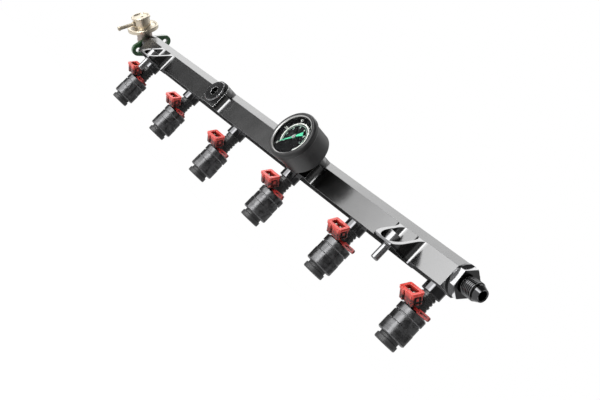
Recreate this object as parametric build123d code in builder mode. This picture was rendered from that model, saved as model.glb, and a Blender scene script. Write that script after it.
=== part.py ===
from build123d import *
import math
import os

os.makedirs("parts", exist_ok=True)

# Frame: origin midway between the two mount studs on the seat of the ears.
# X runs along the rail to the inlet end, Z is up, the front face looks to -Y.

# Rail, in mm
PITCH = 96.5
COUNT = 6
ROW_X = 8.5
ROW_HALF = (COUNT - 1) / 2 * PITCH
END_FAR = 24.75
END_NEAR = 11.25
RAIL_X0 = ROW_X - ROW_HALF - END_FAR
RAIL_X1 = ROW_X + ROW_HALF + END_NEAR
FACE_Y = 9.5
RAIL_W = 25.0
RAIL_H = 25.0
RAIL_Z = 2.0
FACE_H = 18.0
BACK_CHAMFER = 8.0
BORE_D = 14.0
BORE_Y = FACE_Y + RAIL_W / 2
BORE_Z = RAIL_Z + 13.5
PORT_Z = RAIL_Z + 12.7
TOP_Z = RAIL_Z + RAIL_H
END_PORT_D = 17.0
END_PORT_L = 11.0

# Mount ears and their bolts
STUD_IN = 31.25
STUD_X = ROW_HALF - STUD_IN
EAR_X0 = -11.6
EAR_X1 = 14.0
EAR_OUT = 19.4
EAR_FILLET = 4.5
EAR_CORNER = 7.0
POCKET_R = 8.0
RIB_T = 3.0
FOOT_T = 2.0
BOLT_D = 6.0
BOLT_NECK_D = 5.6
BOLT_L = 13.0
HEAD_D = 11.0
HEAD_H = 8.2
HEAD_HEX = 5.0

# Port pads on the front face, and the plug in the far one
PORT_IN = 15.0
PAD_X = PORT_IN - PITCH
PAD_W = 25.0
PAD_OUT = 6.5
PAD_FILLET = 5.0
PAD_ROUND = 9.0
PLUG_D = 22.0
PLUG_T = 3.2
PLUG_HEX = 8.0
PLUG_HEX_DEEP = 4.8
PLUG_THREAD_D = 16.0

# Pressure gauge
GAUGE_X = PITCH - PORT_IN
GAUGE_Z = 19.0
GAUGE_FRONT = -27.6
CASE_D = 39.6
BEZEL_OVER = 1.7
BEZEL_D = CASE_D + 2 * BEZEL_OVER
BEZEL_T = 5.0
BEZEL_WALL = 4.0
CASE_BACK = -1.5
CASE_WALL = 1.5
DIAL_Y = GAUGE_FRONT + 4.6
LENS_T = 1.0
NEEDLE_TIP = 13.2
NEEDLE_TAIL = 8.4
NEEDLE_T = 0.5
NEEDLE_ZERO = 224.0
SPINDLE_D = 1.2
STEM_D = 10.0
STEM_AF = 14.0

# Injectors
# LIFT is how far each one floats up from its seat, TURN how far its socket is swung
LIFT = (0.0, 3.0, 0.0, -3.2, 0.0, 0.0)
TURN = (-2.0, 7.0, 0.0, 6.0, 4.0, 0.0)
CUP_D = 16.0
CUP_H = 6.8
SOCKET_D = 13.4
BARREL_D = 12.5
TOP_RING_D = 11.2
TOP_RING_T = 2.1
TOP_RING_Z = 2.6
ARM_W = 9.0
ARM_Z0 = -20.6
ARM_Z1 = -16.4
ADAPTER_Z1 = -21.0
GROOVE_Z = -27.2
STEP_Z = -34.6
ADAPTER_Z0 = -44.5
SEAL_Z1 = -46.8
SEAL_Z0 = -51.0
ADAPTER_D = 22.6
MID_D = 22.0
LOW_D = 22.6
SLEEVE_BORE = 14.4
SEAL_D = 17.6
SEAL_NECK_D = 15.4
NOZZLE_D = 9.2
TAB_X0 = 9.0
TAB_X1 = 21.0
TAB_H = 3.4
TAB_T = 2.0
TAB_DEEP = 1.3

# Electrical sockets
SOCKET_TILT = 42.0
MOUTH_Y = 5.0
MOUTH_Z = -11.6
MOUTH_W = 15.8
MOUTH_H = 10.2
SOCKET_L = 9.2
SOCKET_WALL = 2.4

# Inlet fitting
FLANGE_D = 25.5
FLANGE_T = 1.6
HEX_AF = 21.5
HEX_T = 4.6
HEX_ROUND = HEX_AF / 2 + 1.1
HEX_TURN = 8.0
THREAD_D = 14.3
THREAD_L = 12.0
THREAD_TURNS = 6
NOSE_L = 3.8
NOSE_D = 9.6
FITTING_BORE = 7.5
STUB_BORE = 9.0

# Pressure regulator
REG_OUT = 21.2
REG_X = RAIL_X0 - REG_OUT
REG_TILT = 29.0
CARRIER_D = 25.0
CARRIER_T = 8.5
PLATE_T = 3.5
PLATE_UP = 1.3
PLATE_HOLES = 31.6
PLATE_HOLE_D = 5.2
PLATE_EAR_R = 6.6
PLATE_HUB_D = 22.0
PLATE_BORE_D = 12.0
SPIGOT_CLEAR = 0.1
BODY_D = 17.4
BODY_DOWN = 10.0
BODY_UP = 6.5
NECK_D = 16.4
DISC_D = 33.0
DISC_S = 17.0
CAN_D = 18.0
CAN_RIM_D = 20.4
CAN_TOP_S = 31.8
NIPPLE_S = 25.0
NIPPLE_D = 3.8
NIPPLE_L = 18.5
OUTLET_D = 8.0
OUTLET_HEX = 12.8
OUTLET_L = 17.0

INJ_X = [ROW_X + (i - (COUNT - 1) / 2) * PITCH for i in range(COUNT - 1, -1, -1)]


def save(piece, name):
    piece.label = name
    export_step(piece, f"parts/{name}.step")


def turned(profile):
    """Solid of revolution about Z from (radius, height) points."""
    with BuildPart() as body:
        with BuildSketch(Plane.XZ):
            with BuildLine():
                Polyline(*profile, close=True)
            make_face()
        revolve(axis=Axis.Z)
    return body.part


def along_x(x):
    return Location((x, BORE_Y, BORE_Z), (0, 90, 0))


# Rail with its ears, cups and port pad
with BuildPart() as port_pad:
    with BuildSketch(Plane.XY.offset(RAIL_Z)):
        with BuildLine():
            half = PAD_W / 2
            f = PAD_FILLET
            back = FACE_Y + 8
            front = FACE_Y - PAD_OUT
            right = Line((PAD_X + half + f, back), (PAD_X + half + f, FACE_Y))
            RadiusArc(right @ 1, (PAD_X + half, FACE_Y - f), -f)
            Line((PAD_X + half, FACE_Y - f), (PAD_X + half, front))
            Line((PAD_X + half, front), (PAD_X - half, front))
            Line((PAD_X - half, front), (PAD_X - half, FACE_Y - f))
            RadiusArc((PAD_X - half, FACE_Y - f), (PAD_X - half - f, FACE_Y), -f)
            Line((PAD_X - half - f, FACE_Y), (PAD_X - half - f, back))
            Line((PAD_X - half - f, back), (PAD_X + half + f, back))
        make_face()
    extrude(amount=RAIL_H)
    with BuildSketch(Plane.XZ.offset(-back - 1)):
        with Locations((PAD_X, RAIL_Z + RAIL_H / 2)):
            Rectangle(3 * PAD_W, 2 * RAIL_H)
        with Locations((PAD_X, RAIL_Z + RAIL_H / 2 - PAD_ROUND)):
            RectangleRounded(PAD_W, RAIL_H + 2 * PAD_ROUND, PAD_ROUND, mode=Mode.SUBTRACT)
        with Locations((PAD_X, RAIL_Z)):
            Rectangle(PAD_W + 2 * f, 2 * (RAIL_H - PAD_ROUND), mode=Mode.SUBTRACT)
    extrude(amount=PAD_OUT + 20, mode=Mode.SUBTRACT)

with BuildPart() as rail_body:
    with BuildSketch(Plane.YZ.offset(RAIL_X0)):
        with BuildLine():
            Polyline(
                (FACE_Y, RAIL_Z),
                (FACE_Y + RAIL_W - BACK_CHAMFER, RAIL_Z),
                (FACE_Y + RAIL_W, RAIL_Z + BACK_CHAMFER),
                (FACE_Y + RAIL_W, TOP_Z),
                (FACE_Y, TOP_Z),
                close=True,
            )
        make_face()
    extrude(amount=RAIL_X1 - RAIL_X0)
    for side in (-1, 1):
        left = side * STUD_X + EAR_X0
        right = side * STUD_X + EAR_X1
        f = EAR_FILLET
        r = EAR_CORNER
        out_y = FACE_Y - EAR_OUT
        with BuildSketch(Plane.XY):
            with BuildLine():
                Line((right + f, FACE_Y + 5), (right + f, FACE_Y))
                RadiusArc((right + f, FACE_Y), (right, FACE_Y - f), -f)
                Line((right, FACE_Y - f), (right, out_y + r))
                RadiusArc((right, out_y + r), (right - r, out_y), r)
                Line((right - r, out_y), (left + r, out_y))
                RadiusArc((left + r, out_y), (left, out_y + r), r)
                Line((left, out_y + r), (left, FACE_Y - f))
                RadiusArc((left, FACE_Y - f), (left - f, FACE_Y), -f)
                Line((left - f, FACE_Y), (left - f, FACE_Y + 5))
                Line((left - f, FACE_Y + 5), (right + f, FACE_Y + 5))
            make_face()
        extrude(amount=TOP_Z)
        wide = right - left - 2 * RIB_T
        pocket_y = FACE_Y - RAIL_Z - FACE_H + FOOT_T
        with BuildSketch(Plane.XY.offset(FOOT_T)):
            with Locations(((left + right) / 2, (pocket_y + FACE_Y) / 2)):
                RectangleRounded(wide, FACE_Y - pocket_y, POCKET_R)
            with Locations(((left + right) / 2, FACE_Y / 2)):
                RectangleRounded(wide, FACE_Y, f)
        extrude(amount=TOP_Z, mode=Mode.SUBTRACT)
        with Locations((side * STUD_X, 0, FOOT_T)):
            Hole((BOLT_D + 0.6) / 2, depth=2 * FOOT_T)
    with BuildSketch(Plane.YZ.offset(RAIL_X0 - 1)):
        with BuildLine():
            edge = RAIL_Z + FACE_H - FACE_Y
            Polyline(
                (FACE_Y - 30, edge + FACE_Y - 30),
                (TOP_Z - edge, TOP_Z),
                (TOP_Z - edge, TOP_Z + 10),
                (FACE_Y - 30, TOP_Z + 10),
                close=True,
            )
        make_face()
    extrude(amount=RAIL_X1 - RAIL_X0 + 2, mode=Mode.SUBTRACT)
    add(port_pad.part)
    add(port_pad.part.moved(Location((GAUGE_X - PAD_X, 0, 0))))
    for x in INJ_X:
        with Locations((x, BORE_Y, RAIL_Z - CUP_H)):
            Cylinder(CUP_D / 2, CUP_H + 1, align=(Align.CENTER, Align.CENTER, Align.MIN))
            Cylinder(
                SOCKET_D / 2,
                BORE_Z - RAIL_Z + CUP_H,
                align=(Align.CENTER, Align.CENTER, Align.MIN),
                mode=Mode.SUBTRACT,
            )
    with Locations(along_x((RAIL_X0 + RAIL_X1) / 2)):
        Cylinder(BORE_D / 2, RAIL_X1 - RAIL_X0, mode=Mode.SUBTRACT)
    with Locations(along_x(RAIL_X0 + END_PORT_L / 2), along_x(RAIL_X1 - END_PORT_L / 2)):
        Cylinder(END_PORT_D / 2, END_PORT_L, mode=Mode.SUBTRACT)
    with BuildSketch(Plane.XZ.offset(-BORE_Y)):
        with Locations((PAD_X, PORT_Z)):
            Circle(PLUG_THREAD_D / 2)
        with Locations((GAUGE_X, PORT_Z)):
            Circle(STEM_D / 2)
    extrude(amount=BORE_Y - FACE_Y + PAD_OUT, mode=Mode.SUBTRACT)
save(rail_body.part, "rail_body")

# Mount bolts
for side, tag in ((1, "near"), (-1, "far")):
    with BuildPart() as mount_bolt:
        with Locations((side * STUD_X, 0, FOOT_T)):
            Cylinder(HEAD_D / 2, HEAD_H, align=(Align.CENTER, Align.CENTER, Align.MIN))
        chamfer(mount_bolt.edges().group_by(Axis.Z)[-1], 0.5)
        with BuildSketch(Plane.XY.offset(FOOT_T + HEAD_H)):
            with Locations((side * STUD_X, 0)):
                RegularPolygon(HEAD_HEX / 2, 6, major_radius=False)
        extrude(amount=-HEAD_H / 2, mode=Mode.SUBTRACT)
        with Locations((side * STUD_X, 0, FOOT_T)):
            Cylinder(BOLT_NECK_D / 2, FOOT_T, align=(Align.CENTER, Align.CENTER, Align.MAX))
        with Locations((side * STUD_X, 0, 0)):
            Cylinder(BOLT_D / 2, BOLT_L, align=(Align.CENTER, Align.CENTER, Align.MAX))
        chamfer(mount_bolt.edges().group_by(Axis.Z)[0], 0.6)
    save(mount_bolt.part, f"mount_bolt_{tag}")

# Port plug with its sealing ring
with BuildPart() as port_plug:
    with BuildSketch(Plane.XZ.offset(-(FACE_Y - PAD_OUT))):
        with Locations((PAD_X, PORT_Z)):
            Circle(PLUG_D / 2)
    extrude(amount=PLUG_T)
    chamfer(port_plug.edges().group_by(Axis.Y)[0], 0.7)
    with BuildSketch(Plane.XZ.offset(-(FACE_Y - PAD_OUT))):
        with Locations((PAD_X, PORT_Z)):
            Circle(PLUG_THREAD_D / 2 - 1.2)
    extrude(amount=-2)
    with BuildSketch(Plane.XZ.offset(-(FACE_Y - PAD_OUT + 2))):
        with Locations((PAD_X, PORT_Z)):
            Circle(PLUG_THREAD_D / 2)
    extrude(amount=-7)
    with BuildSketch(Plane.XZ.offset(-(FACE_Y - PAD_OUT - PLUG_T))):
        with Locations((PAD_X, PORT_Z)):
            RegularPolygon(PLUG_HEX / 2, 6, major_radius=False)
    extrude(amount=-PLUG_HEX_DEEP, mode=Mode.SUBTRACT)
save(port_plug.part, "port_plug")

with BuildPart() as port_plug_o_ring:
    with Locations(Location((PAD_X, FACE_Y - PAD_OUT + 1.0, PORT_Z), (90, 0, 0))):
        Torus(PLUG_THREAD_D / 2 - 0.62, 0.55)
save(port_plug_o_ring.part, "port_plug_o_ring")

# Inlet fitting on the near end
fit_x = RAIL_X1
hex_x = fit_x + FLANGE_T
thread_x = hex_x + HEX_T
tip_x = thread_x + THREAD_L + NOSE_L
with BuildPart() as inlet_fitting:
    with BuildSketch(Plane.YZ.offset(fit_x)):
        with Locations((BORE_Y, BORE_Z)):
            Circle(FLANGE_D / 2)
    extrude(amount=FLANGE_T)
    with BuildPart(mode=Mode.PRIVATE) as nut:
        with BuildSketch(Plane.YZ.offset(hex_x)):
            with Locations((BORE_Y, BORE_Z)):
                RegularPolygon(HEX_AF / 2, 6, major_radius=False, rotation=30 + HEX_TURN)
        extrude(amount=HEX_T)
        with Locations(along_x(hex_x + HEX_T / 2)):
            Cone(HEX_ROUND + 1.5 * HEX_T, HEX_ROUND, HEX_T, mode=Mode.INTERSECT)
    add(nut.part)
    profile = [(FITTING_BORE / 2, thread_x - 1), (THREAD_D / 2 - 1.1, thread_x - 1)]
    profile += [(THREAD_D / 2 - 1.1, thread_x + 1.6)]
    run = (THREAD_L - 3.0) / THREAD_TURNS
    for k in range(THREAD_TURNS):
        x = thread_x + 1.6 + k * run
        profile += [(THREAD_D / 2, x + 0.25 * run), (THREAD_D / 2, x + 0.55 * run)]
        profile += [(THREAD_D / 2 - 0.7, x + 0.8 * run), (THREAD_D / 2 - 0.7, x + run)]
    profile += [(THREAD_D / 2 - 0.9, thread_x + THREAD_L), (NOSE_D / 2, tip_x)]
    profile += [(FITTING_BORE / 2, tip_x - 0.4)]
    add(turned(profile).moved(along_x(0)))
    with Locations(along_x(fit_x)):
        Cylinder(THREAD_D / 2, 3.0, align=(Align.CENTER, Align.CENTER, Align.MAX))
    with Locations(along_x(fit_x - 3.0)):
        Cylinder(END_PORT_D / 2, 7.0, align=(Align.CENTER, Align.CENTER, Align.MAX))
    with Locations(along_x(tip_x + 1)):
        Cylinder(
            FITTING_BORE / 2,
            tip_x - fit_x + 20,
            align=(Align.CENTER, Align.CENTER, Align.MAX),
            mode=Mode.SUBTRACT,
        )
    with Locations(along_x(fit_x + 0.6)):
        Cylinder(
            STUB_BORE / 2,
            20,
            align=(Align.CENTER, Align.CENTER, Align.MAX),
            mode=Mode.SUBTRACT,
        )
save(inlet_fitting.part, "inlet_fitting")

with BuildPart() as inlet_o_ring:
    with Locations(along_x(fit_x - 1.5)):
        Torus(THREAD_D / 2 + 0.66, 0.64)
save(inlet_o_ring.part, "inlet_o_ring")

# Pressure gauge: case, stem, bezel, dial, lens, pointer and its works
gauge_at = Location((GAUGE_X, 0, GAUGE_Z), (90, 0, 0))
bezel_back = GAUGE_FRONT + BEZEL_T
rb = BEZEL_D / 2
rc = CASE_D / 2
with BuildPart() as gauge_case:
    inner = rc - CASE_WALL
    rim = -bezel_back
    floor = -CASE_BACK
    profile = [(0, floor), (rc - 1.5, floor), (rc, floor + 1.5), (rc, rim)]
    profile += [(rc - 0.7, rim), (rc - 0.7, rim + 1.2), (inner, rim + 1.2)]
    profile += [(inner, floor + CASE_WALL), (0, floor + CASE_WALL)]
    add(turned(profile).moved(gauge_at))
    with BuildSketch(Plane.XZ.offset(-CASE_BACK - 1)):
        with Locations((GAUGE_X, PORT_Z)):
            Circle(STEM_D / 2)
    extrude(amount=CASE_WALL + 2, mode=Mode.SUBTRACT)
save(gauge_case.part, "gauge_case")

with BuildPart() as gauge_stem:
    with BuildSketch(Plane.XZ.offset(-(BORE_Y - 5))):
        with Locations((GAUGE_X, PORT_Z)):
            Circle(STEM_D / 2)
    extrude(amount=BORE_Y - 5 - CASE_BACK + CASE_WALL)
    with BuildSketch(Plane.XZ.offset(-(FACE_Y - PAD_OUT))):
        with Locations((GAUGE_X, PORT_Z)):
            RegularPolygon(STEM_AF / 2, 6, major_radius=False)
    extrude(amount=FACE_Y - PAD_OUT - CASE_BACK - 0.5)
    with BuildSketch(Plane.XZ.offset(-(CASE_BACK - CASE_WALL))):
        with Locations((GAUGE_X, PORT_Z)):
            RectangleRounded(12, 19, 1)
    extrude(amount=4)
    with BuildSketch(Plane.XZ.offset(-(BORE_Y - 5))):
        with Locations((GAUGE_X, PORT_Z)):
            Circle(2.0)
    extrude(amount=BORE_Y - 5 - CASE_BACK + CASE_WALL + 2, mode=Mode.SUBTRACT)
save(gauge_stem.part, "gauge_stem")

with BuildPart() as gauge_bezel:
    front = -GAUGE_FRONT
    lip = rb - BEZEL_WALL
    profile = [(rc + 0.05, -bezel_back - 0.6), (rb - 0.3, -bezel_back - 0.6)]
    profile += [(rb, -bezel_back), (rb, front - 1.8), (rb - 0.5, front - 0.7)]
    profile += [(rb - 1.4, front - 0.1), (rb - 2.2, front), (rb - 3.2, front - 0.2)]
    profile += [(lip, front - 0.8), (lip, front - 1.9)]
    profile += [(rc - 0.65, front - 1.9), (rc - 0.65, rim + 0.1), (rc + 0.05, rim + 0.1)]
    add(turned(profile).moved(gauge_at))
save(gauge_bezel.part, "gauge_bezel")

with BuildPart() as gauge_dial:
    with BuildSketch(Plane.XZ.offset(-DIAL_Y - 0.8)):
        with Locations((GAUGE_X, GAUGE_Z)):
            Circle(inner - 0.1)
            Circle(0.9, mode=Mode.SUBTRACT)
    extrude(amount=0.8)
save(gauge_dial.part, "gauge_dial")

with BuildPart() as gauge_lens:
    with BuildSketch(Plane.XZ.offset(-(GAUGE_FRONT + 1.95 + LENS_T))):
        with Locations((GAUGE_X, GAUGE_Z)):
            Circle(rc - 0.75)
    extrude(amount=LENS_T)
save(gauge_lens.part, "gauge_lens")

with BuildPart() as gauge_needle:
    with BuildSketch(Plane.XZ.offset(-DIAL_Y + 0.25)):
        with Locations(Location((GAUGE_X, GAUGE_Z), NEEDLE_ZERO)):
            Polygon(
                (NEEDLE_TIP, 0.25),
                (NEEDLE_TIP, -0.25),
                (1.0, -0.75),
                (-2.0, -0.8),
                (-NEEDLE_TAIL, -2.0),
                (-NEEDLE_TAIL, 2.0),
                (-2.0, 0.8),
                (1.0, 0.75),
                align=None,
            )
            Circle(1.9)
    extrude(amount=NEEDLE_T)
    with BuildSketch(Plane.XZ.offset(-DIAL_Y + 0.25)):
        with Locations((GAUGE_X, GAUGE_Z)):
            Circle(1.5)
    extrude(amount=1.0)
    with Locations(gauge_at * Location((0, 0, -DIAL_Y))):
        Cylinder(
            SPINDLE_D / 2 + 0.05,
            0.95,
            align=(Align.CENTER, Align.CENTER, Align.MIN),
            mode=Mode.SUBTRACT,
        )
save(gauge_needle.part, "gauge_needle")

with BuildPart() as gauge_movement:
    with BuildSketch(Plane.XZ.offset(-(DIAL_Y + 2.2))):
        with Locations((GAUGE_X, GAUGE_Z)):
            RectangleRounded(21, 8, 2)
    extrude(amount=-1.2)
    with BuildSketch(Plane.XZ.offset(-(DIAL_Y + 3.4))):
        with Locations((GAUGE_X - 8.4, GAUGE_Z), (GAUGE_X + 8.4, GAUGE_Z)):
            Circle(1.2)
    extrude(amount=-(CASE_BACK - CASE_WALL - DIAL_Y - 3.4))
    with BuildSketch(Plane.XZ.offset(-(DIAL_Y + 3.0))):
        with Locations((GAUGE_X, GAUGE_Z)):
            Circle(SPINDLE_D / 2)
    extrude(amount=3.8)
save(gauge_movement.part, "gauge_movement")

with BuildPart() as gauge_tube:
    with BuildSketch(Plane.XZ.offset(-(CASE_BACK - CASE_WALL - 4.0))):
        with BuildLine():
            wide = CenterArc((GAUGE_X, GAUGE_Z), 14.5, -80, 250)
            slim = CenterArc((GAUGE_X, GAUGE_Z), 12.0, -80, 250)
            Line(wide @ 0, slim @ 0)
            Line(wide @ 1, slim @ 1)
        make_face()
    extrude(amount=4.0)
save(gauge_tube.part, "gauge_tube")

# Injectors, each with a socket, pins, a clip, an adapter sleeve and its seals
tilt = math.radians(SOCKET_TILT)
face_dir = Vector(0, -math.cos(tilt), math.sin(tilt))
mouth = Plane(
    origin=(0, MOUTH_Y - BORE_Y, MOUTH_Z),
    x_dir=(1, 0, 0),
    z_dir=(0, -math.cos(tilt), math.sin(tilt)),
)


def back_y(z):
    """Y of the back of the socket at one height."""
    back = mouth.origin - face_dir * SOCKET_L
    return back.Y + (z - back.Z) * math.sin(tilt) / math.cos(tilt)


with BuildPart() as barrel:
    r = BARREL_D / 2
    profile = [(0, -1), (2.4, -1), (2.4, 5.4), (6.2, 5.4), (6.2, 4.1), (4.5, 4.1), (4.5, 1.1)]
    profile += [(6.2, 1.1), (6.2, RAIL_Z - CUP_H - 0.4)]
    for k in range(3):
        z = RAIL_Z - CUP_H - 0.4 - 3.0 * k
        profile += [(r - 0.7, z), (r - 0.7, z - 0.9), (r, z - 1.1), (r, z - 2.8)]
    profile += [(r - 0.5, -14.3), (r - 0.5, -15.2), (r, -15.4), (r, ADAPTER_Z1)]
    profile += [(SLEEVE_BORE / 2 - 0.2, ADAPTER_Z1 - 0.6), (SLEEVE_BORE / 2 - 0.2, -37.0)]
    profile += [(NOZZLE_D / 2, -39.4), (NOZZLE_D / 2, SEAL_Z0 + 1.5)]
    profile += [(NOZZLE_D / 2 - 1, SEAL_Z0 + 0.5), (1.6, SEAL_Z0 + 0.5), (1.6, SEAL_Z0 + 2)]
    profile += [(0, SEAL_Z0 + 2)]
    add(turned(profile))
    with BuildSketch(Plane.YZ.offset(-ARM_W / 2)):
        with BuildLine():
            Polyline(
                (back_y(ARM_Z0), ARM_Z0),
                (back_y(ARM_Z1), ARM_Z1),
                (-2, ARM_Z1),
                (-2, ARM_Z0),
                close=True,
            )
        make_face()
    extrude(amount=ARM_W)

with BuildPart() as socket:
    with BuildSketch(mouth):
        RectangleRounded(MOUTH_W, MOUTH_H, 1.4)
    extrude(amount=-2.0)
    with BuildSketch(mouth.offset(-2.0)):
        RectangleRounded(MOUTH_W - 0.9, MOUTH_H - 0.8, 1.2)
    extrude(amount=-(SOCKET_L - 2.0))
    with BuildSketch(mouth):
        RectangleRounded(MOUTH_W - 2 * SOCKET_WALL, MOUTH_H - 2 * SOCKET_WALL, 0.8)
    extrude(amount=-SOCKET_L + 2.0, mode=Mode.SUBTRACT)
    low = -(MOUTH_H - 0.8) / 2
    deep = -(SOCKET_L + 1.2) / 2
    with Locations(mouth * Location((-1.5, low, deep))):
        Box(1.6, 1.6, SOCKET_L - 1.2, mode=Mode.SUBTRACT)
    with Locations(mouth * Location((-3.4, low, deep)), mouth * Location((5.8, low, deep))):
        Box(1.2, 1.0, SOCKET_L - 1.2)
    side_x = (MOUTH_W - 0.9) / 2
    with Locations(mouth * Location((side_x, -0.2, -5.6))):
        Box(1.6, 5.8, 5.6, mode=Mode.SUBTRACT)
    with Locations(mouth * Location((side_x - 0.3, -0.2, -5.0))):
        Box(1.0, 3.0, 3.4)

with BuildPart() as pins:
    with BuildSketch(mouth.offset(-SOCKET_L + 2.0)):
        with Locations((-2.5, 0), (2.5, 0)):
            Rectangle(1.7, 1.1)
    extrude(amount=SOCKET_L - 3.6)

with BuildPart() as clip:
    with BuildSketch(Plane.XY.offset(ARM_Z0 - 0.2)):
        Circle(9.0)
        with Locations((7.5, -7.5)):
            Rectangle(5.4, 2.0)
        Circle(BARREL_D / 2 + 0.15, mode=Mode.SUBTRACT)
        with Locations((0, -7)):
            Rectangle(ARM_W + 0.6, 14, mode=Mode.SUBTRACT)
    extrude(amount=2.0)
    with BuildSketch(Plane.XZ.offset(7.5 - TAB_T / 2)):
        with Locations(((TAB_X0 + TAB_X1) / 2, ARM_Z0 + 0.8)):
            RectangleRounded(TAB_X1 - TAB_X0, TAB_H, 1.2)
    extrude(amount=TAB_T)
    with BuildSketch(Plane.XZ.offset(7.5 + TAB_T / 2)):
        with Locations(((TAB_X0 + TAB_X1) / 2 + 0.6, ARM_Z0 + 0.8)):
            RectangleRounded(TAB_X1 - TAB_X0 - 4.4, TAB_H - 2.2, 0.5)
    extrude(amount=-TAB_DEEP, mode=Mode.SUBTRACT)

with BuildPart() as sleeve:
    ra = ADAPTER_D / 2
    rm = MID_D / 2
    rl = LOW_D / 2
    rs = SLEEVE_BORE / 2
    profile = [(rs, ADAPTER_Z1), (ra - 0.8, ADAPTER_Z1), (ra, ADAPTER_Z1 - 0.8)]
    profile += [(ra, GROOVE_Z + 0.5), (rm - 0.6, GROOVE_Z + 0.3), (rm - 0.6, GROOVE_Z - 0.4)]
    profile += [(rm, GROOVE_Z - 0.7), (rm, STEP_Z + 0.6), (rl, STEP_Z)]
    profile += [(rl, ADAPTER_Z0 + 0.7), (rl - 0.7, ADAPTER_Z0)]
    profile += [(NOZZLE_D / 2 + 0.3, ADAPTER_Z0), (NOZZLE_D / 2 + 0.3, ADAPTER_Z0 + 3.6)]
    profile += [(rs, ADAPTER_Z0 + 6.5)]
    add(turned(profile))

with BuildPart() as seal:
    rl = SEAL_D / 2
    rn = SEAL_NECK_D / 2
    ri = NOZZLE_D / 2 + 0.05
    profile = [(ri, ADAPTER_Z0), (rn, ADAPTER_Z0), (rn, SEAL_Z1), (rl - 0.4, SEAL_Z1)]
    profile += [(rl, SEAL_Z1 - 0.4), (rl, SEAL_Z0 + 0.6), (rl - 0.6, SEAL_Z0), (ri, SEAL_Z0)]
    add(turned(profile))

with BuildPart() as o_ring:
    with Locations((0, 0, TOP_RING_Z)):
        Torus(TOP_RING_D / 2, TOP_RING_T / 2)

seats = [Location((x, BORE_Y, up), (0, 0, t)) for x, up, t in zip(INJ_X, LIFT, TURN)]
pieces = {"body": barrel, "socket": socket, "clip": clip, "adapter": sleeve}
for n, seat in enumerate(seats, 1):
    for name, piece in pieces.items():
        save(piece.part.moved(seat), f"injector_{n}_{name}")

with BuildPart() as injector_top_o_rings:
    with Locations(seats):
        add(o_ring.part)
save(injector_top_o_rings.part, "injector_top_o_rings")

with BuildPart() as injector_seals:
    with Locations(seats):
        add(seal.part)
save(injector_seals.part, "injector_seals")

with BuildPart() as injector_pins:
    with Locations(seats):
        add(pins.part)
save(injector_pins.part, "injector_pins")

# Pressure regulator on the far end
reg_tilt = math.radians(REG_TILT)
reg = Plane(
    origin=(REG_X, BORE_Y, BORE_Z),
    x_dir=(1, 0, 0),
    z_dir=(0, -math.cos(reg_tilt), math.sin(reg_tilt)),
)
carrier_x = RAIL_X0 - CARRIER_T
plate_x = carrier_x - PLATE_T
with BuildPart() as regulator_adapter:
    profile = [(4.0, carrier_x + 5), (6.2, carrier_x + 5), (6.2, carrier_x)]
    profile += [(CARRIER_D / 2 - 1, carrier_x), (CARRIER_D / 2, carrier_x + 1)]
    profile += [(CARRIER_D / 2, RAIL_X0 - 0.6), (CARRIER_D / 2 - 0.6, RAIL_X0)]
    profile += [(END_PORT_D / 2, RAIL_X0), (END_PORT_D / 2, RAIL_X0 + 3)]
    profile += [(END_PORT_D / 2 - 1.3, RAIL_X0 + 3), (END_PORT_D / 2 - 1.3, RAIL_X0 + 5.2)]
    profile += [(END_PORT_D / 2, RAIL_X0 + 5.2), (END_PORT_D / 2, RAIL_X0 + 9)]
    profile += [(4.0, RAIL_X0 + 9)]
    add(turned(profile).moved(along_x(0)))
save(regulator_adapter.part, "regulator_adapter")

with BuildPart() as regulator_adapter_o_ring:
    with Locations(along_x(RAIL_X0 + 4.1)):
        Torus(END_PORT_D / 2 - 0.65, 0.62)
save(regulator_adapter_o_ring.part, "regulator_adapter_o_ring")

with BuildPart() as regulator_flange:
    across = PLATE_HOLES / 2 * math.sin(reg_tilt)
    up = PLATE_HOLES / 2 * math.cos(reg_tilt)
    mid = BORE_Z + PLATE_UP
    holes = [(BORE_Y + across, mid + up), (BORE_Y - across, mid - up)]
    with BuildSketch(Plane.YZ.offset(plate_x)):
        with BuildLine():
            for hole in holes:
                CenterArc(hole, PLATE_EAR_R, 0, 360)
            CenterArc((BORE_Y, BORE_Z), PLATE_HUB_D / 2, 0, 360)
        make_hull()
        with Locations(*holes):
            Circle(PLATE_HOLE_D / 2, mode=Mode.SUBTRACT)
        with Locations((BORE_Y, BORE_Z)):
            Circle(PLATE_BORE_D / 2, mode=Mode.SUBTRACT)
    extrude(amount=PLATE_T)
save(regulator_flange.part, "regulator_flange")

with BuildPart() as regulator_body:
    with Locations(along_x(REG_X)):
        Cylinder(BODY_D / 2, plate_x - REG_X, align=(Align.CENTER, Align.CENTER, Align.MIN))
        Cylinder(
            PLATE_BORE_D / 2 - SPIGOT_CLEAR,
            plate_x - REG_X + PLATE_T + 4.8,
            align=(Align.CENTER, Align.CENTER, Align.MIN),
        )
    profile = [(0, -BODY_DOWN), (BODY_D / 2 - 1, -BODY_DOWN), (BODY_D / 2, 1 - BODY_DOWN)]
    profile += [(BODY_D / 2, BODY_UP), (NECK_D / 2, BODY_UP + 1), (NECK_D / 2, DISC_S - 2.5)]
    profile += [(NECK_D / 2 + 1.3, DISC_S)]
    profile += [(0, DISC_S)]
    add(turned(profile).moved(reg.location))
    with Locations(along_x(REG_X)):
        Cylinder(
            3.0,
            plate_x - REG_X + PLATE_T + 5,
            align=(Align.CENTER, Align.CENTER, Align.MIN),
            mode=Mode.SUBTRACT,
        )
    with Locations(reg.location * Location((0, 0, -BODY_DOWN))):
        Cylinder(
            3.0,
            BODY_DOWN + DISC_S,
            align=(Align.CENTER, Align.CENTER, Align.MIN),
            mode=Mode.SUBTRACT,
        )
save(regulator_body.part, "regulator_body")

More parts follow.
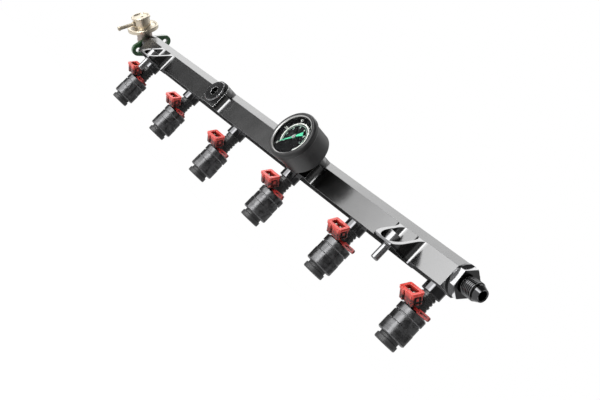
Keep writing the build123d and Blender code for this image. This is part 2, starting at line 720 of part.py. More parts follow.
with BuildPart() as regulator_disc:
    rd = DISC_D / 2
    profile = [(3.0, DISC_S), (rd - 1.2, DISC_S), (rd - 0.9, DISC_S - 0.7), (rd, DISC_S - 0.5)]
    profile += [(rd, DISC_S + 2.6), (rd - 0.6, DISC_S + 3.2), (rd - 2.4, DISC_S + 3.0)]
    profile += [(rd - 3.2, DISC_S + 2.4), (rd - 5.0, DISC_S + 2.7), (CAN_D / 2, DISC_S + 3.6)]
    profile += [(CAN_D / 2 - 1, DISC_S + 3.6), (CAN_D / 2 - 1, DISC_S + 1.2), (3.0, DISC_S + 1.2)]
    add(turned(profile).moved(reg.location))
save(regulator_disc.part, "regulator_disc")

with BuildPart() as regulator_can:
    rc = CAN_D / 2
    base = DISC_S + 3.6
    profile = [(rc - 1, base), (rc, base), (rc, CAN_TOP_S - 2.6), (CAN_RIM_D / 2, CAN_TOP_S - 2.0)]
    profile += [(CAN_RIM_D / 2, CAN_TOP_S - 0.6), (CAN_RIM_D / 2 - 0.6, CAN_TOP_S)]
    profile += [(CAN_RIM_D / 2 - 1.8, CAN_TOP_S), (CAN_RIM_D / 2 - 2.6, CAN_TOP_S - 1.0)]
    profile += [(0, CAN_TOP_S - 1.0), (0, CAN_TOP_S - 2.2), (rc - 1, CAN_TOP_S - 2.2)]
    add(turned(profile).moved(reg.location))
    with Locations(reg.location * Location((1.5, 1.0, CAN_TOP_S - 1.0))):
        Cylinder(1.3, 1.4, mode=Mode.SUBTRACT)
    with Locations(reg.location * Location((0, -rc, NIPPLE_S), (90, 0, 0))):
        Cylinder(NIPPLE_D / 2, 4, mode=Mode.SUBTRACT)
save(regulator_can.part, "regulator_can")

with BuildPart() as vacuum_nipple:
    rn = NIPPLE_D / 2
    profile = [(1.1, rc - 1.0), (rn, rc - 1.0), (rn, rc + 0.2), (rn + 0.9, rc + 0.2)]
    profile += [(rn + 0.9, rc + 1.6), (rn, rc + 2.0), (rn, rc + NIPPLE_L - 2.4)]
    profile += [(rn + 0.6, rc + NIPPLE_L - 1.8), (rn + 0.3, rc + NIPPLE_L), (1.1, rc + NIPPLE_L)]
    add(turned(profile).moved(reg.location * Location((0, 0, NIPPLE_S), (90, 0, 0))))
save(vacuum_nipple.part, "vacuum_nipple")

with BuildPart() as return_outlet:
    tip = -BODY_DOWN - OUTLET_L
    ro = OUTLET_D / 2
    rh = OUTLET_HEX / 2
    profile = [(2.2, tip), (ro - 0.4, tip), (ro + 0.4, tip + 1.8), (ro, tip + 2.6)]
    profile += [(ro, -BODY_DOWN - 2.6), (rh, -BODY_DOWN - 2.6), (rh, -BODY_DOWN), (2.2, -BODY_DOWN)]
    add(turned(profile).moved(reg.location))
save(return_outlet.part, "return_outlet")
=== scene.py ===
import math

import bpy
from mathutils import Matrix, Quaternion, Vector


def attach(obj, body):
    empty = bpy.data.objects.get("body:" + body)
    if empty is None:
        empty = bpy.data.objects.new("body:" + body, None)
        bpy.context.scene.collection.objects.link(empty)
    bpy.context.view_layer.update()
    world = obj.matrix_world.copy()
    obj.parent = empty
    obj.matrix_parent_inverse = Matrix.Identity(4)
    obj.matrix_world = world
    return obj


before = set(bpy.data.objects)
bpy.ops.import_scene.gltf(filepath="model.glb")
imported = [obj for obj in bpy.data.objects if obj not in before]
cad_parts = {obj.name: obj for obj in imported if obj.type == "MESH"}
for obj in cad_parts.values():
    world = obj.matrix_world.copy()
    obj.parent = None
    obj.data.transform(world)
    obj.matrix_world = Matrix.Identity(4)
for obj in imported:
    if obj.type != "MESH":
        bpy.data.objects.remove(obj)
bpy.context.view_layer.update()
MM = 0.001

# Camera, found from the rail's corners, the studs and the injector pitch
CAMERA_AT = Vector((0.6635, -0.4810, -0.0666))
LOOK_AT = Vector((0.13714, -0.02235, -0.01623))
ROLL = math.radians(43.94)
LENS_MM = 57.36
SENSOR_MM = 36.0
CLIP = (0.01, 50.0)

# Studio, in metres, with a radiance of 1 for white
FLOOR_Z = -0.086
FLOOR_SIZE = 12.0
FLOOR_SEEN = (0.5, 0.5, 0.5)
FLOOR_LIT = (0.8, 0.8, 0.8)
FLOOR_MIRRORED = (0.02, 0.02, 0.02)
FLOOR_LIFT = 0.7
FLOOR_SHINE = 1.0
DARK_FLOOR_X = (0.06, -0.06)
DARK_FLOOR_Y = (0.1, 0.28)
BACKGROUND = 1.0
BASE_LIGHT = 0.14

# Soft cards of light on the sky, in degrees, with the azimuth from +X towards +Y
CARDS = {
    "core": dict(azimuth=-84, half_width=12, low=-3, high=18, edge=5, light=5.0),
    "key": dict(azimuth=-104, half_width=32, low=-10, high=30, edge=4, light=4.9),
    "top": dict(azimuth=172, half_width=32, low=20, high=72, edge=7, light=2.2),
    "fill": dict(azimuth=25, half_width=50, low=12, high=70, edge=14, light=0.3),
    "rear": dict(azimuth=103, half_width=26, low=5, high=60, edge=8, light=0.8),
}

# Where the finish, the painted light or the painted shade changes on the rail, in millimetres. A FADE is
# where the change starts and where it is full
CUP_FADE_Z = (2.05, 1.95)
RIM_FADE_Y = (9.3, 8.5)
PORT_X = (-95.0, -68.0)
PORT_FADE_Y = (3.9, 3.8)

# The same on the inlet fitting, whose axis is at FITTING_Y and FITTING_Z
FITTING_Y = 22.0
FITTING_Z = 15.5
HEXAGON_FADE_X = (262.5, 262.7)
THREAD_FADE_X = (267.22, 267.32)
GROOVE_FADE_R = (6.8, 6.55)
GROOVE_END_FADE_X = (279.2, 279.0)
NOSE_FADE_X = (279.1, 279.3)

# Parts of a surface's normal between which it counts as facing that way
UPWARD = (0.4, 0.6)
FORWARD = (-0.75, -0.9)
DOWNWARD = (-0.6, -0.75)
ENDWARD = (0.8, 0.95)

# Gauge, in millimetres
GAUGE_X = 81.5
GAUGE_Z = 19.0
DIAL_Y = -23.0
LIP_R = (17.3, 18.3)
LIP_EDGE = 0.1
LIP_FADE_Y = (-25.9, -26.2)
BEZEL_FADE_R = (18.1, 18.5)
BEZEL_FADE_Y = (-21.8, -22.1)

# Pointer's cap, as (radius, y) pairs from its back to its tip
CAP_PROFILE = ((1.9, -23.6), (1.9, -24.0), (1.5, -24.25), (0.8, -24.38), (0.0, -24.42))
CAP_SIDES = 32

# Dial print, in millimetres and degrees, angles from +X towards +Z
ZERO = 225.0
SWEEP = 270.0
PRINT_T = 0.04
STROKE_GROWTH = 0.09
OUTER_BAND = (12.3, 13.4)
OUTER_BAND_STEPS = 90
OUTER_TOP = 100
OUTER_TICK_STEP = 5
OUTER_TICK_R = 14.3
OUTER_HALF_TICK_R = 13.9
OUTER_TICK_WIDTH = 0.4
OUTER_NUMBER_STEP = 20
OUTER_NUMBER_R = 15.9
OUTER_NUMBER_SIZE = 3.2
INNER_BAND = (11.1, 11.4)
INNER_BAND_STEPS = 80
INNER_TOP = 6
INNER_UNIT = 39.2
INNER_TICK_R = 10.6
INNER_HALF_TICK_R = 10.9
INNER_TICK_WIDTH = 0.22
INNER_NUMBER_R = 9.4
INNER_NUMBER_SIZE = 2.6

# Injectors, in millimetres and degrees, from number 1 at the inlet on
PITCH = 96.5
ROW_X = 8.5
ROW_Y = 22.0
ROW_MIDDLE = 3.5
LIFT = (0.0, 3.0, 0.0, -3.2, 0.0, 0.0)
TURN = (-2.0, 7.0, 0.0, 6.0, 4.0, 0.0)
SOCKET_TILT = 42.0
MOUTH_Y = 5.0
MOUTH_Z = -11.6

# Places on a socket, in millimetres from its mouth's middle: u across, v up and w outwards
HOLLOW = dict(u=(-5.5, 5.5), v=(-2.75, 2.75))
HOLLOW_FADE_W = (-0.5, -2.0)
RECESS = dict(u=(6.4, 9.0), v=(-3.1, 2.7), w=(-8.4, -2.8))
BOSS = dict(u=(6.9, 9.0), v=(-1.2, 0.8), w=(-6.0, -3.8))
SHADED_RECESSES = 2
# Painted shade below a socket's mouth: its fade outwards and its cloudy patches
LOWER_SHADE_FADE_W = (-2.2, -5.5)
LOWER_SHADE_SCALE = 700.0
LOWER_SHADE_DETAIL = 4.0
LOWER_SHADE_PATCH = (0.36, 0.56)
LOWER_SHADE_THINNEST = 0.45


def mm(x, y, z):
    """A point given in millimetres, in metres."""
    return Vector((x, y, z)) * MM


def put(tree, kind, inputs=None, **settings):
    """A new node. Its inputs are given values or joined to sockets."""
    made = tree.nodes.new(kind)
    for key, value in settings.items():
        setattr(made, key, value)
    for key, value in (inputs or {}).items():
        socket = made.inputs[key]
        if isinstance(value, bpy.types.NodeSocket):
            tree.links.new(value, socket)
        else:
            socket.default_value = value
    return made


def maths(tree, operation, a, b=0.0):
    return put(tree, "ShaderNodeMath", {0: a, 1: b}, operation=operation).outputs[0]


def product(tree, first, *others):
    for other in others:
        first = maths(tree, "MULTIPLY", first, other)
    return first


def hypotenuse(tree, a, b):
    squares = maths(tree, "ADD", product(tree, a, a), product(tree, b, b))
    return maths(tree, "SQRT", squares)


def xyz(tree, vector):
    return put(tree, "ShaderNodeSeparateXYZ", {0: vector}).outputs[:]


def dot(tree, a, b):
    return put(tree, "ShaderNodeVectorMath", {0: a, 1: b}, operation="DOT_PRODUCT").outputs["Value"]


def ramp(tree, value, start, end, low=0.0, high=1.0):
    """low at start and before it, high at end and beyond, and a smooth step between them."""
    inputs = {"Value": value, "From Min": start, "From Max": end, "To Min": low, "To Max": high}
    made = put(tree, "ShaderNodeMapRange", inputs, interpolation_type="SMOOTHSTEP")
    return made.outputs["Result"]


def fade(tree, length, start, end):
    """0 at start and before it, and 1 at end and beyond, both in millimetres."""
    return ramp(tree, length, start * MM, end * MM)


def inside(tree, length, low, high, edge=0.15):
    """1 where a length lies between low and high, and 0 outside, all in millimetres."""
    above = fade(tree, length, low - edge, low + edge)
    below = fade(tree, length, high + edge, high - edge)
    return product(tree, above, below)


def rgba(colour):
    """A colour with its alpha, or a socket as it is."""
    return colour if isinstance(colour, bpy.types.NodeSocket) else (*colour, 1.0)


def mix(tree, factor, a, b):
    """Colour a where factor is 0, and colour b where it is 1."""
    inputs = {0: factor, 6: rgba(a), 7: rgba(b)}
    return put(tree, "ShaderNodeMix", inputs, data_type="RGBA").outputs[2]


def noise(tree, where, scale, detail=3.0, rough=0.55):
    inputs = {"Vector": where, "Scale": scale, "Detail": detail, "Roughness": rough}
    return put(tree, "ShaderNodeTexNoise", inputs).outputs[0]


def face_normal(tree):
    return put(tree, "ShaderNodeNewGeometry").outputs["Normal"]


def tone(colour, gain):
    return tuple(min(1.0, c * gain) for c in colour)


class Surface:
    """The part that all of the object's materials share: grain, mottling, edges lightened as wear and as a
    painted highlight, and painted shade in creases and hollows.
    """

    BEVEL_SAMPLES = 8
    CREVICE_SAMPLES = 6
    COLOUR_PATCH = (0.35, 0.65)
    ROUGH_PATCH = (0.3, 0.7)
    FINE_DETAIL = 2.0
    WORN_COSINE = (0.995, 0.93)
    WORN_ROUGH = 0.2
    CREVICE_SKY = (0.72, 0.35)
    CREVICE_TONE = 0.08
    COAT_ROUGH = 0.1

    def __init__(
        self,
        name,
        colour,
        metallic=0.0,
        rough=(0.3, 0.4),
        mottle=0.15,
        mottle_scale=60.0,
        grain=0.00002,
        grain_scale=2500.0,
        stretch=(1, 1, 1),
        edge=None,
        edge_mm=0.3,
        coat=0.0,
        specular=0.5,
        painted_shade_reach=0.0,
    ):
        self.material = bpy.data.materials.new(name)
        self.material.use_nodes = True
        self.tree = tree = self.material.node_tree
        tree.nodes.clear()
        self.where = put(tree, "ShaderNodeTexCoord").outputs["Object"]
        patches = noise(tree, self.where, mottle_scale)
        lined = put(tree, "ShaderNodeMapping", {"Vector": self.where, "Scale": stretch}).outputs[0]
        fine = noise(tree, lined, grain_scale, self.FINE_DETAIL)
        bevel = put(tree, "ShaderNodeBevel", {"Radius": edge_mm * MM}, samples=self.BEVEL_SAMPLES)
        rounded = bevel.outputs[0]
        bump = {"Strength": 1.0, "Distance": grain, "Height": fine, "Normal": rounded}
        normal = put(tree, "ShaderNodeBump", bump).outputs[0]
        dark = tone(colour, 1 - mottle)
        light = tone(colour, 1 + mottle)
        self.colour = mix(tree, ramp(tree, patches, *self.COLOUR_PATCH), dark, light)
        self.rough = ramp(tree, patches, *self.ROUGH_PATCH, *rough)
        # Wear and painted highlight: rounded edges are lightened to the edge colour, and made a little
        # rougher.
        if edge:
            self.worn = ramp(tree, dot(tree, face_normal(tree), rounded), *self.WORN_COSINE)
            self.colour = mix(tree, self.worn, self.colour, edge)
            rougher = product(tree, self.worn, self.WORN_ROUGH)
            self.rough = maths(tree, "ADD", self.rough, rougher)
        # Painted shade: the colour is darkened towards a dark tone of itself where ambient occlusion finds
        # little open sky nearby.
        if painted_shade_reach:
            reach = {"Distance": painted_shade_reach * MM}
            sky_seen = put(tree, "ShaderNodeAmbientOcclusion", reach, samples=self.CREVICE_SAMPLES)
            painted_crevice_shade = ramp(tree, sky_seen.outputs["AO"], *self.CREVICE_SKY)
            self.colour = mix(tree, painted_crevice_shade, self.colour, tone(colour, self.CREVICE_TONE))
        constants = {
            "Metallic": metallic,
            "Specular IOR Level": specular,
            "Coat Weight": coat,
            "Coat Roughness": self.COAT_ROUGH,
        }
        self.shader = put(tree, "ShaderNodeBsdfPrincipled", constants)
        self.join("Base Color", self.colour)
        self.join("Roughness", self.rough)
        self.join("Normal", normal)
        if coat:
            self.join("Coat Normal", normal)
        put(tree, "ShaderNodeOutputMaterial", {"Surface": self.shader.outputs[0]})

    def join(self, name, socket):
        self.tree.links.new(socket, self.shader.inputs[name])


def rail_finish():
    """Satin black anodising, with a painted highlight on the port pad's front edges and painted light on
    the pads' and ears' upper rims, and glossier and darker on the turned cups, the darker black partly
    painted shade.
    """
    made = Surface(
        "rail_black",
        (0.14, 0.14, 0.1405),
        metallic=1.0,
        rough=(0.215, 0.235),
        mottle=0.03,
        grain=0.000003,
        grain_scale=1800.0,
        stretch=(0.12, 1, 1),
        edge=(0.34, 0.34, 0.35),
        edge_mm=0.32,
    )
    painted_port_edge_highlight = (0.9, 0.9, 0.9)
    painted_rim_light = (0.28, 0.28, 0.282)
    cup_black_and_painted_shade = (0.08, 0.08, 0.083)
    cup_rough = 0.11

    tree = made.tree
    x, y, z = xyz(tree, made.where)
    # Painted highlight: the port pad's front edges are lightened to near white.
    port_front = product(tree, inside(tree, x, *PORT_X), fade(tree, y, *PORT_FADE_Y))
    colour = mix(tree, product(tree, port_front, made.worn), made.colour, painted_port_edge_highlight)
    # Painted light: surfaces facing up on the pads' and ears' front rims are a lighter grey.
    upward = ramp(tree, xyz(tree, face_normal(tree))[2], *UPWARD)
    rim = product(tree, upward, fade(tree, y, *RIM_FADE_Y))
    colour = mix(tree, rim, colour, painted_rim_light)
    # The turned cups are glossier, and their darker black is partly their finish and partly painted shade.
    cup = fade(tree, z, *CUP_FADE_Z)
    made.join("Base Color", mix(tree, cup, colour, cup_black_and_painted_shade))
    rough = put(tree, "ShaderNodeMix", {0: cup, 2: made.rough, 3: cup_rough}, data_type="FLOAT")
    made.join("Roughness", rough.outputs[0])
    return made.material


def fitting_finish():
    """Bright black anodising. The hexagon's facets carry painted reflections: bright on the front and
    underside facets and grey on the end face. The flange, thread and nose are darker, with painted shade in
    the thread's grooves.
    """
    made = Surface(
        "fitting_gloss_black",
        (0.29, 0.29, 0.295),
        metallic=1.0,
        rough=(0.12, 0.17),
        mottle=0.06,
        grain=0.000002,
        edge=(0.75, 0.75, 0.75),
        edge_mm=0.1,
    )
    flange_black = (0.08, 0.08, 0.082)
    painted_front_reflection = (0.92, 0.92, 0.93)
    painted_under_reflection = (0.8, 0.8, 0.81)
    painted_end_shade = (0.16, 0.16, 0.163)
    thread_black = (0.14, 0.14, 0.143)
    nose_black = (0.07, 0.07, 0.072)
    painted_groove_shade = (0.006, 0.006, 0.006)

    tree = made.tree
    x, y, z = xyz(tree, made.where)
    facing_x, facing_y, facing_z = xyz(tree, face_normal(tree))
    hexagon = fade(tree, x, *HEXAGON_FADE_X)
    # Painted reflections on the hexagon: front facets near white, underside facets bright, and the end face
    # a darker grey.
    front = product(tree, ramp(tree, facing_y, *FORWARD), hexagon)
    nut = mix(tree, front, made.colour, painted_front_reflection)
    nut = mix(tree, ramp(tree, facing_z, *DOWNWARD), nut, painted_under_reflection)
    nut = mix(tree, ramp(tree, facing_x, *ENDWARD), nut, painted_end_shade)
    nut = mix(tree, hexagon, flange_black, nut)

    # Painted shade in the thread's grooves, below a radius from the fitting's axis and short of the nose.
    across = maths(tree, "SUBTRACT", y, FITTING_Y * MM)
    up = maths(tree, "SUBTRACT", z, FITTING_Z * MM)
    groove_shade = fade(tree, hypotenuse(tree, across, up), *GROOVE_FADE_R)
    groove_shade = product(tree, groove_shade, fade(tree, x, *GROOVE_END_FADE_X))
    land = mix(tree, fade(tree, x, *NOSE_FADE_X), thread_black, nose_black)
    thread = mix(tree, groove_shade, land, painted_groove_shade)
    made.join("Base Color", mix(tree, fade(tree, x, *THREAD_FADE_X), nut, thread))
    return made.material


def gauge_finish():
    """Satin black, darkest round the bezel, with the paint rubbed off the lip round the glass."""
    made = Surface(
        "gauge_satin_black",
        (0.04, 0.04, 0.041),
        rough=(0.34, 0.44),
        grain=0.00001,
        grain_scale=1500.0,
        edge=(0.09, 0.09, 0.09),
    )
    bezel_black = (0.01, 0.01, 0.0105)
    lip_bare = (0.5, 0.5, 0.49)

    tree = made.tree
    x, y, z = xyz(tree, made.where)
    across = maths(tree, "SUBTRACT", x, GAUGE_X * MM)
    up = maths(tree, "SUBTRACT", z, GAUGE_Z * MM)
    radius = hypotenuse(tree, across, up)
    lip = product(tree, inside(tree, radius, *LIP_R, LIP_EDGE), fade(tree, y, *LIP_FADE_Y))
    bezel = product(tree, fade(tree, radius, *BEZEL_FADE_R), fade(tree, y, *BEZEL_FADE_Y))
    paint = mix(tree, bezel, made.colour, bezel_black)
    made.join("Base Color", mix(tree, lip, paint, lip_bare))
    made.join("Metallic", lip)
    return made.material


def lens_finish():
    """Clear glass with a trace of haze."""
    made = Surface(
        "lens_clear",
        (0.97, 0.98, 0.98),
        rough=(0.01, 0.03),
        mottle=0.01,
        grain=0.0000004,
        grain_scale=300.0,
    )
    made.shader.inputs["Transmission Weight"].default_value = 1.0
    made.shader.inputs["IOR"].default_value = 1.2
    return made.material


def socket_finish(number, lift, turn):
    """Red moulding, with wear and a painted highlight at its rim, painted shade below its mouth and inside
    it, and painted shade in its side recess.
    """
    made = Surface(
        f"socket_red_{number}",
        (0.72, 0.06, 0.045),
        rough=(0.22, 0.36),
        mottle=0.12,
        mottle_scale=300.0,
        grain=0.000012,
        edge=(0.9, 0.34, 0.28),
        edge_mm=0.25,
        painted_shade_reach=1.6,
    )
    painted_lower_shade_black = (0.012, 0.003, 0.003)
    painted_hollow_shade = (0.03, 0.005, 0.005)
    painted_recess_shade = (0.012, 0.004, 0.004)
    painted_recess_dim_red = (0.12, 0.012, 0.01)
    boss_red = (0.5, 0.05, 0.04)

    tree = made.tree
    spin = Matrix.Rotation(math.radians(turn), 3, "Z")
    tilt = math.radians(SOCKET_TILT)
    seat = Vector((ROW_X + (ROW_MIDDLE - number) * PITCH, ROW_Y, lift))
    mouth = seat + spin @ Vector((0, MOUTH_Y - ROW_Y, MOUTH_Z))
    axes = {
        "u": spin @ Vector((1, 0, 0)),
        "v": spin @ Vector((0, math.sin(tilt), math.cos(tilt))),
        "w": spin @ Vector((0, -math.cos(tilt), math.sin(tilt))),
    }
    along = {}
    for letter, axis in axes.items():
        along[letter] = maths(tree, "SUBTRACT", dot(tree, made.where, axis), axis.dot(mouth) * MM)

    def within(spans):
        return product(tree, *(inside(tree, along[letter], *span) for letter, span in spans.items()))

    # Painted shade below the mouth, in cloudy patches.
    clouds = noise(tree, made.where, LOWER_SHADE_SCALE, LOWER_SHADE_DETAIL)
    patches = ramp(tree, clouds, *LOWER_SHADE_PATCH, LOWER_SHADE_THINNEST, 1.0)
    lower_shade = product(tree, fade(tree, along["w"], *LOWER_SHADE_FADE_W), patches)
    colour = mix(tree, lower_shade, made.colour, painted_lower_shade_black)
    # Painted shade inside the mouth's hollow.
    hollow_shade = product(tree, within(HOLLOW), fade(tree, along["w"], *HOLLOW_FADE_W))
    colour = mix(tree, hollow_shade, colour, painted_hollow_shade)
    # Painted shade in the side recess: near black on the nearest sockets and dim red on the rest, with its
    # raised boss painted a lighter red.
    recess = painted_recess_shade if number <= SHADED_RECESSES else painted_recess_dim_red
    colour = mix(tree, within(RECESS), colour, recess)
    colour = mix(tree, within(BOSS), colour, boss_red)
    made.join("Base Color", colour)
    return made.material


# In each finish, the edge colour is both edge wear and a painted edge highlight.
FINISHES = {
    "rail_anodised": rail_finish(),
    "fitting_anodised": fitting_finish(),
    "plug_anodised": Surface(
        "plug_gloss_black",
        (0.12, 0.12, 0.125),
        metallic=1.0,
        rough=(0.16, 0.22),
        mottle=0.08,
        grain=0.000004,
        edge=(0.85, 0.85, 0.85),
        edge_mm=0.35,
    ).material,
    "bolt_steel": Surface(
        "bolt_bright_steel",
        (0.22, 0.22, 0.223),
        metallic=1.0,
        rough=(0.24, 0.32),
        mottle=0.06,
        grain=0.000008,
        edge=(0.5, 0.5, 0.5),
    ).material,
    "rubber": Surface(
        "seal_rubber",
        (0.02, 0.02, 0.021),
        rough=(0.4, 0.55),
        specular=0.6,
    ).material,
    "gauge_black": gauge_finish(),
    "gauge_brass": Surface(
        "gauge_brass",
        (0.72, 0.56, 0.3),
        metallic=1.0,
        rough=(0.28, 0.4),
        edge=(0.85, 0.7, 0.42),
    ).material,
    "lens": lens_finish(),
    "dial": Surface(
        "dial_matt_black",
        (0.01, 0.01, 0.011),
        rough=(0.6, 0.75),
        grain=0.000008,
        specular=0.08,
    ).material,
    "needle": Surface(
        "needle_pale_green",
        (0.09, 0.78, 0.42),
        rough=(0.4, 0.5),
        mottle=0.04,
        grain=0.000004,
    ).material,
    "injector_black": Surface(
        "injector_black",
        (0.014, 0.014, 0.015),
        rough=(0.25, 0.35),
        grain=0.00001,
        edge=(0.06, 0.06, 0.06),
    ).material,
    "clip_red": Surface(
        "clip_red",
        (0.24, 0.012, 0.01),
        mottle=0.4,
        mottle_scale=500.0,
        grain=0.00001,
        edge=(0.36, 0.05, 0.04),
        edge_mm=0.2,
        painted_shade_reach=1.5,
    ).material,
    "pin_metal": Surface(
        "pin_plated",
        (0.4, 0.38, 0.33),
        metallic=1.0,
        rough=(0.2, 0.3),
    ).material,
    "adapter_anodised": Surface(
        "adapter_satin_black",
        (0.085, 0.085, 0.087),
        metallic=1.0,
        rough=(0.22, 0.36),
        mottle=0.3,
        mottle_scale=220.0,
        grain=0.000034,
        grain_scale=1700.0,
        stretch=(0.06, 0.06, 1),
        edge=(0.35, 0.35, 0.36),
        edge_mm=0.35,
    ).material,
    "regulator_gold": Surface(
        "regulator_yellow_zinc",
        (0.6, 0.535, 0.43),
        metallic=0.92,
        rough=(0.27, 0.36),
        mottle=0.1,
        mottle_scale=150.0,
        edge=(0.7, 0.64, 0.52),
        painted_shade_reach=2.0,
    ).material,
    "regulator_steel": Surface(
        "regulator_dull_zinc",
        (0.34, 0.29, 0.26),
        metallic=0.8,
        rough=(0.34, 0.46),
        mottle=0.12,
        mottle_scale=150.0,
        edge=(0.75, 0.7, 0.66),
    ).material,
    "flange_green": Surface(
        "flange_dark_green",
        (0.035, 0.1, 0.04),
        rough=(0.2, 0.3),
        edge=(0.2, 0.28, 0.2),
        coat=0.6,
    ).material,
    "nipple_brass": Surface(
        "nipple_plated",
        (0.6, 0.53, 0.41),
        metallic=0.75,
        rough=(0.34, 0.45),
        edge=(0.82, 0.76, 0.6),
    ).material,
}

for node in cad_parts.values():
    for holder in node.material_slots:
        slot_name = holder.material.name.split(".")[0]
        if slot_name in FINISHES:
            holder.material = FINISHES[slot_name]

for injector, (lift, turn) in enumerate(zip(LIFT, TURN), 1):
    socket_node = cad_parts[f"injector_{injector}_socket"]
    socket_node.material_slots[0].material = socket_finish(injector, lift, turn)


def place(name, data):
    """A new object in the scene."""
    made = bpy.data.objects.new(name, data)
    bpy.context.scene.collection.objects.link(made)
    return made


def solid(name, points, faces, material):
    """A new mesh object in the scene, with one material."""
    mesh = bpy.data.meshes.new(name)
    mesh.from_pydata(points, [], faces)
    mesh.validate()
    mesh.materials.append(material)
    return place(name, mesh)


def gauge_point(radius, degrees, y):
    """A point round the gauge's axis."""
    a = math.radians(degrees)
    return mm(GAUGE_X + radius * math.cos(a), y, GAUGE_Z + radius * math.sin(a))


# Dial print: scale bands, ticks and plain numbers, all one thin layer on the dial
def printed_scale(name, quads, material):
    """A thin raised sheet made of quads, each given as four (radius, degrees) corners."""
    points = []
    faces = []
    for quad in quads:
        start = len(points)
        points += [gauge_point(r, a, DIAL_Y - PRINT_T) for r, a in quad]
        points += [gauge_point(r, a, DIAL_Y) for r, a in quad]
        faces.append([start + i for i in range(4)])
        for i in range(4):
            j = (i + 1) % 4
            faces.append([start + j, start + i, start + 4 + i, start + 4 + j])
    made = solid(name, points, faces, material)
    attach(made, "rail")


def printed_number(name, text, radius, degrees, size, material):
    """A plain number that stands upright on the dial."""
    curve = bpy.data.curves.new(name, "FONT")
    curve.body = text
    curve.size = size * MM
    curve.align_x = "CENTER"
    curve.align_y = "CENTER"
    curve.extrude = PRINT_T / 2 * MM
    curve.offset = STROKE_GROWTH * MM
    curve.materials.append(material)
    made = place(name, curve)
    made.location = gauge_point(radius, degrees, DIAL_Y - PRINT_T / 2)
    made.rotation_euler = (math.radians(90), 0, 0)
    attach(made, "rail")


def band(inner, outer, start, end, steps):
    """Quads along an arc from start to end, in degrees."""
    turn = (end - start) / steps
    quads = []
    for i in range(steps):
        a, b = start + i * turn, start + (i + 1) * turn
        quads.append(((inner, a), (inner, b), (outer, b), (outer, a)))
    return quads


def tick(inner, outer, degrees, width):
    """One radial mark, its width in millimetres."""
    near = math.degrees(width / 2 / inner)
    far = math.degrees(width / 2 / outer)
    return (
        (inner, degrees + near),
        (inner, degrees - near),
        (outer, degrees - far),
        (outer, degrees + far),
    )


def outer_angle(value):
    return ZERO - SWEEP * value / OUTER_TOP


def inner_angle(value):
    return ZERO - INNER_UNIT * value


cream = Surface("dial_cream_print", (0.9, 0.92, 0.86), rough=(0.5, 0.6), mottle=0.04).material
green = Surface("dial_green_print", (0.6, 0.85, 0.7), rough=(0.5, 0.6), mottle=0.04).material

outer_marks = band(*OUTER_BAND, ZERO, outer_angle(OUTER_TOP), OUTER_BAND_STEPS)
for value in range(0, OUTER_TOP + 1, OUTER_TICK_STEP):
    reach = OUTER_TICK_R if value % (2 * OUTER_TICK_STEP) == 0 else OUTER_HALF_TICK_R
    outer_marks.append(tick(OUTER_BAND[1], reach, outer_angle(value), OUTER_TICK_WIDTH))
inner_marks = band(*INNER_BAND, ZERO, inner_angle(INNER_TOP), INNER_BAND_STEPS)
for halves in range(2 * INNER_TOP + 1):
    reach = INNER_TICK_R if halves % 2 == 0 else INNER_HALF_TICK_R
    inner_marks.append(tick(reach, INNER_BAND[0], inner_angle(halves / 2), INNER_TICK_WIDTH))
printed_scale("dial_print_scale", outer_marks, cream)
printed_scale("dial_print_inner_scale", inner_marks, green)

for value in range(0, OUTER_TOP + 1, OUTER_NUMBER_STEP):
    at = outer_angle(value)
    printed_number(f"dial_number_{value}", str(value), OUTER_NUMBER_R, at, OUTER_NUMBER_SIZE, cream)
for value in range(INNER_TOP + 1):
    at = inner_angle(value)
    name = f"dial_inner_number_{value}"
    printed_number(name, str(value), INNER_NUMBER_R, at, INNER_NUMBER_SIZE, green)


# Cap over the pointer's hub
def dome(name, profile, sides, material):
    """A closed solid turned round the gauge's axis, its profile ending on the axis."""
    *rings, (_, tip_y) = profile
    step = 360 / sides
    points = [gauge_point(r, a * step, y) for r, y in rings for a in range(sides)]
    back, tip = len(points), len(points) + 1
    points += [gauge_point(0, 0, rings[0][1]), gauge_point(0, 0, tip_y)]
    last = (len(rings) - 1) * sides
    faces = []
    for a in range(sides):
        b = (a + 1) % sides
        faces.append((back, b, a))
        for start in range(0, last, sides):
            faces.append((start + a, start + b, start + sides + b, start + sides + a))
        faces.append((last + a, last + b, tip))
    return solid(name, points, faces, material)


cap_grey = Surface("pointer_cap_grey", (0.3, 0.31, 0.3), rough=(0.45, 0.55)).material
pointer_cap = dome("pointer_cap", CAP_PROFILE, CAP_SIDES, cap_grey)
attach(pointer_cap, "pointer")


# Floor: white to the camera and in reflections, where the stretch behind the rail stays dark
def floor_paper():
    paper = bpy.data.materials.new("floor_paper")
    paper.use_nodes = True
    tree = paper.node_tree
    tree.nodes.clear()
    rays = put(tree, "ShaderNodeLightPath").outputs
    camera_ray, glossy_ray = rays["Is Camera Ray"], rays["Is Glossy Ray"]
    shade = mix(tree, camera_ray, FLOOR_LIT, FLOOR_SEEN)
    shade = mix(tree, glossy_ray, shade, FLOOR_MIRRORED)
    matt = put(tree, "ShaderNodeBsdfDiffuse", {"Color": shade}).outputs[0]
    x, y, _ = xyz(tree, put(tree, "ShaderNodeTexCoord").outputs["Object"])
    behind = product(tree, ramp(tree, y, *DARK_FLOOR_Y), ramp(tree, x, *DARK_FLOOR_X))
    mirrored = maths(tree, "SUBTRACT", glossy_ray, product(tree, behind, glossy_ray))
    shine = product(tree, mirrored, FLOOR_SHINE)
    glow = maths(tree, "ADD", product(tree, camera_ray, FLOOR_LIFT), shine)
    glowing = put(tree, "ShaderNodeEmission", {"Strength": glow}).outputs[0]
    both = put(tree, "ShaderNodeAddShader", {0: matt, 1: glowing}).outputs[0]
    put(tree, "ShaderNodeOutputMaterial", {"Surface": both})
    return paper


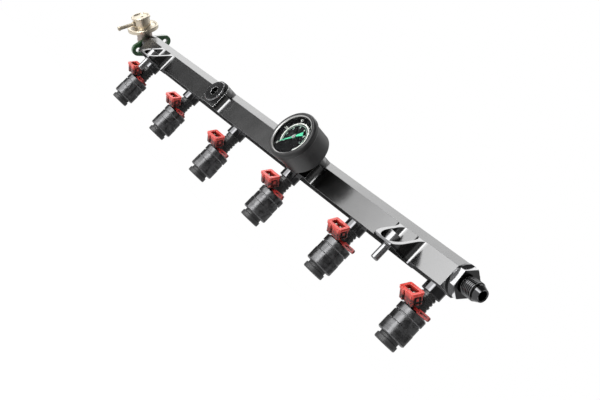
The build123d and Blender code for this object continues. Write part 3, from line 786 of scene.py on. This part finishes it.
half = FLOOR_SIZE / 2
floor_corners = [(x, y, FLOOR_Z) for x, y in ((-half, -half), (half, -half), (half, half), (-half, half))]
floor = solid("floor", floor_corners, [(0, 1, 2, 3)], floor_paper())

# World: white to the camera, and soft cards on a grey sky for all other rays
world = bpy.data.worlds.new("studio")
bpy.context.scene.world = world
world.use_nodes = True
sky = world.node_tree
sky.nodes.clear()
ray = put(sky, "ShaderNodeTexCoord").outputs["Generated"]


def card(azimuth, half_width, low, high, edge, light):
    """The light of one soft-edged patch of the sky, and 0 outside it."""
    a = math.radians(azimuth)
    ahead = dot(sky, ray, (math.cos(a), math.sin(a), 0))
    aside = dot(sky, ray, (-math.sin(a), math.cos(a), 0))
    turn = maths(sky, "ABSOLUTE", maths(sky, "ARCTAN2", aside, ahead))
    rise = maths(sky, "ARCSINE", xyz(sky, ray)[2])
    half_width, low, high, edge = (math.radians(angle) for angle in (half_width, low, high, edge))
    wide = ramp(sky, turn, half_width + edge, half_width - edge)
    under = ramp(sky, rise, high + edge, high - edge)
    above = ramp(sky, rise, low - edge, low + edge)
    return product(sky, wide, under, above, light)


level = BASE_LIGHT
for row in CARDS.values():
    level = maths(sky, "ADD", level, card(**row))
lit = put(sky, "ShaderNodeBackground", {"Color": (1, 1, 1, 1), "Strength": level}).outputs[0]
white = put(sky, "ShaderNodeBackground", {"Color": (1, 1, 1, 1), "Strength": BACKGROUND}).outputs[0]
seen = put(sky, "ShaderNodeLightPath").outputs["Is Camera Ray"]
shown = put(sky, "ShaderNodeMixShader", {0: seen, 1: lit, 2: white}).outputs[0]
put(sky, "ShaderNodeOutputWorld", {"Surface": shown})

# Camera
lens = bpy.data.cameras.new("camera")
lens.sensor_fit = "HORIZONTAL"
lens.sensor_width = SENSOR_MM
lens.lens = LENS_MM
lens.clip_start, lens.clip_end = CLIP
camera = place("camera", lens)
camera.location = CAMERA_AT
camera.rotation_mode = "QUATERNION"
level_view = (LOOK_AT - CAMERA_AT).to_track_quat("-Z", "Y")
camera.rotation_quaternion = level_view @ Quaternion((0, 0, 1), ROLL)
bpy.context.scene.camera = camera

bpy.context.scene.view_settings.view_transform = "Standard"
